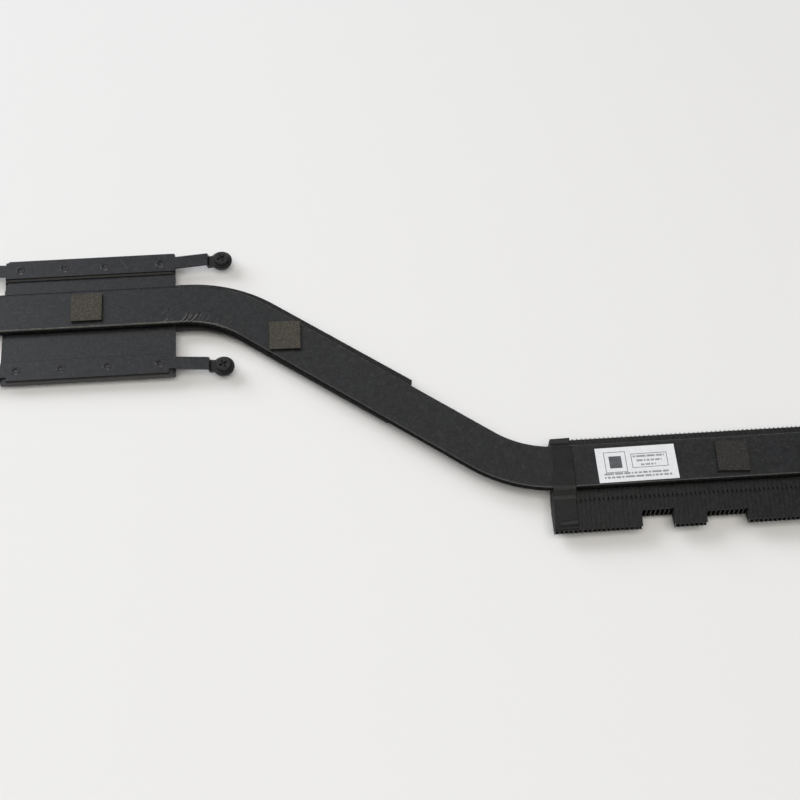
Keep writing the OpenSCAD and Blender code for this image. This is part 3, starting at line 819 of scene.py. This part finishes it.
def label():
    """A thin closed slab for the paper, and one for each ink rectangle just above it."""
    lo, hi = box_mm("label")
    points, faces, slots = [], [], []

    def slab(x0, x1, y0, y1, z0, z1, slot):
        """Box between two corners, its six faces outwards, in one material slot."""
        k = len(points)
        points.extend([(x, y, z) for z in (z0, z1) for x, y in ((x0, y0), (x1, y0), (x1, y1), (x0, y1))])
        faces.extend([[k + 3, k + 2, k + 1, k], [k + 4, k + 5, k + 6, k + 7]])
        faces.extend([[k + i, k + (i + 1) % 4, k + 4 + (i + 1) % 4, k + 4 + i] for i in range(4)])
        slots.extend([slot] * 6)

    top = hi[2] - 0.01
    slab(-LABEL_W / 2, LABEL_W / 2, -LABEL_D / 2, LABEL_D / 2, lo[2], top, 0)
    for slot, rectangles in enumerate(ink_rectangles(), 1):
        for x0, x1, y0, y1 in rectangles:
            slab(x0, x1, y0, y1, top + 0.001, top + 0.006, slot)
    turn = np.array([[math.cos(LABEL_TURN), math.sin(LABEL_TURN)],
                     [-math.sin(LABEL_TURN), math.cos(LABEL_TURN)]])
    p = np.array(points)
    p[:, :2] = p[:, :2] @ turn + (lo[:2] + hi[:2]) / 2
    piece = add_mesh("label_printed", p, faces, [white_label, dark_ink, pale_ink],
                     False, slots)
    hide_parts("label")
    return piece


label()

# %% [markdown]
# ## Edges of the hard pieces
# Real sheet metal has no razor edges: the stamping rounds them and paint fills them. A solid model
# could carry that, at the cost of many faces; a small bevel modifier gives the same thin
# highlights along plates, springs and screw heads.

# %% Bevels on the CAD pieces
BEVELS = {
    "base_plate": 0.12, "leaf_spring_rear": 0.1, "leaf_spring_front": 0.1,
    "screw_rear_right": 0.07, "screw_front_right": 0.07,
    "screw_rear_left": 0.07, "screw_front_left": 0.07,
    "pipe_stiffener": 0.08, "contact_block": 0.1,
}
for name, width in BEVELS.items():
    bevel = NODES[name].modifiers.new("soft edge", "BEVEL")
    bevel.width = width * MM
    bevel.segments = 2
    bevel.limit_method = "ANGLE"
    bevel.angle_limit = math.radians(35)
print("bevelled pieces", len(BEVELS))

# %% [markdown]
# ## Table
# The part rests on the tips of its two left screws and on the lower left edge of the fin stack.
# The part stays in its own frame, where the contact face is level, so it is the table that slopes,
# by about a degree. A wide plane puts its edges out of sight.

# %% Table
TABLE_HALF = 3000.0
tip_lo, tip_hi = box_mm("screw_rear_left")
fin_lo = box_mm("fins_block_left")[0]
tip_x = (tip_lo[0] + tip_hi[0]) / 2
slope = (fin_lo[2] - tip_lo[2]) / (fin_lo[0] - tip_x)
corners = [(x, y, tip_lo[2] + slope * (x - tip_x)) for x, y in
           ((-TABLE_HALF, -TABLE_HALF), (TABLE_HALF, -TABLE_HALF),
            (TABLE_HALF, TABLE_HALF), (-TABLE_HALF, TABLE_HALF))]
table_mesh = bpy.data.meshes.new("table")
table_mesh.from_pydata((np.array(corners) * MM).tolist(), [], [(0, 1, 2, 3)])
table = bpy.data.objects.new("table", table_mesh)
scene.collection.objects.link(table)
pale_matt, tree, shader, coords = new_material("pale matt table")
shader.inputs["Base Color"].default_value = srgb("#ecebea")
shader.inputs["Roughness"].default_value = 0.9
shader.inputs["Specular IOR Level"].default_value = 0.1
table_mesh.materials.append(pale_matt)
print("table slope", round(math.degrees(math.atan(slope)), 2), "degrees")

# %% [markdown]
# ## Light
# The photo was lit by a cool window at the rear left and by a warmer ceiling in front. Satin black
# shows mostly what it mirrors: the broad ceiling lamp fills the flat tops with an even grey, and
# the window draws the edges and lays soft shadows to the right. Two weak lamps and a dim surround
# open the far sides. All lamps are large and far away, so no shadow has a hard edge.

# %% Window, ceiling, two weak lamps and the surround
MIDDLE = (0.06, -0.03, 0)    # the point all lamps face, in metres


def softbox(name, place, size, watts, colour):
    """Rectangular area light at place; its axes are right = z x back, up = back x right."""
    light = bpy.data.lights.new(name, "AREA")
    light.shape = "RECTANGLE"
    light.size, light.size_y = size
    light.energy = watts
    light.color = srgb(colour)[:3]
    obj = bpy.data.objects.new(name, light)
    scene.collection.objects.link(obj)
    back = np.array(place, float) - np.array(MIDDLE, float)
    back /= np.linalg.norm(back)
    right = np.cross([0, 0, 1.0], back)
    right /= np.linalg.norm(right)
    m = np.eye(4)
    m[:3, 0], m[:3, 1], m[:3, 2], m[:3, 3] = right, np.cross(back, right), back, place
    obj.matrix_world = Matrix(m.tolist())
    print(name, watts, "W")


softbox("window", (-1.1, 0.75, 1.0), (1.2, 1.2), 21.0, "#f0f5ff")
softbox("front ceiling", (0.06, -0.5, 1.4), (1.4, 0.9), 14.2, "#fffcf4")
softbox("right wall", (1.2, 0.0, 1.2), (1.4, 1.4), 1.5, "#dbe5ff")
softbox("rear ceiling", (0.0, 0.8, 1.4), (1.0, 1.0), 1.4, "#fffdf6")
world = bpy.data.worlds.new("pale surround")
world.use_nodes = True
world.node_tree.nodes["Background"].inputs["Color"].default_value = srgb("#ffffff")
world.node_tree.nodes["Background"].inputs["Strength"].default_value = 0.12
scene.world = world

# %% [markdown]
# ## Camera
# The camera's place, direction and focal length were solved from the plate, the screws and the fin
# pitch, so a point of the part falls on its own place in the picture. Aiming by eye would be
# simpler, but then no edge could be compared with the photo.

# %% Camera
FORWARD = np.array([0.05186, 0.49145, -0.86936])      # the picture's three axes in the part's frame
DOWN = np.array([-0.05693, -0.86766, -0.49389])
RIGHT = np.array([0.99703, -0.07510, 0.01702])
EYE = np.array([56.611, -213.287, 326.456 + SEAT])    # its height is measured from the pipe's seat
camera = bpy.data.objects.new("camera", bpy.data.cameras.new("camera"))
scene.collection.objects.link(camera)
camera.data.sensor_width = 36.0
camera.data.lens = 69.05
camera.data.clip_start, camera.data.clip_end = 0.02, 20
m = np.eye(4)
m[:3, 0], m[:3, 1], m[:3, 2], m[:3, 3] = RIGHT, -DOWN, -FORWARD, EYE * MM
camera.matrix_world = Matrix(m.tolist())
scene.camera = camera
scene.view_settings.view_transform = "Standard"
print("camera", round(float(np.linalg.norm(EYE)), 1), "mm from the origin, lens", camera.data.lens)
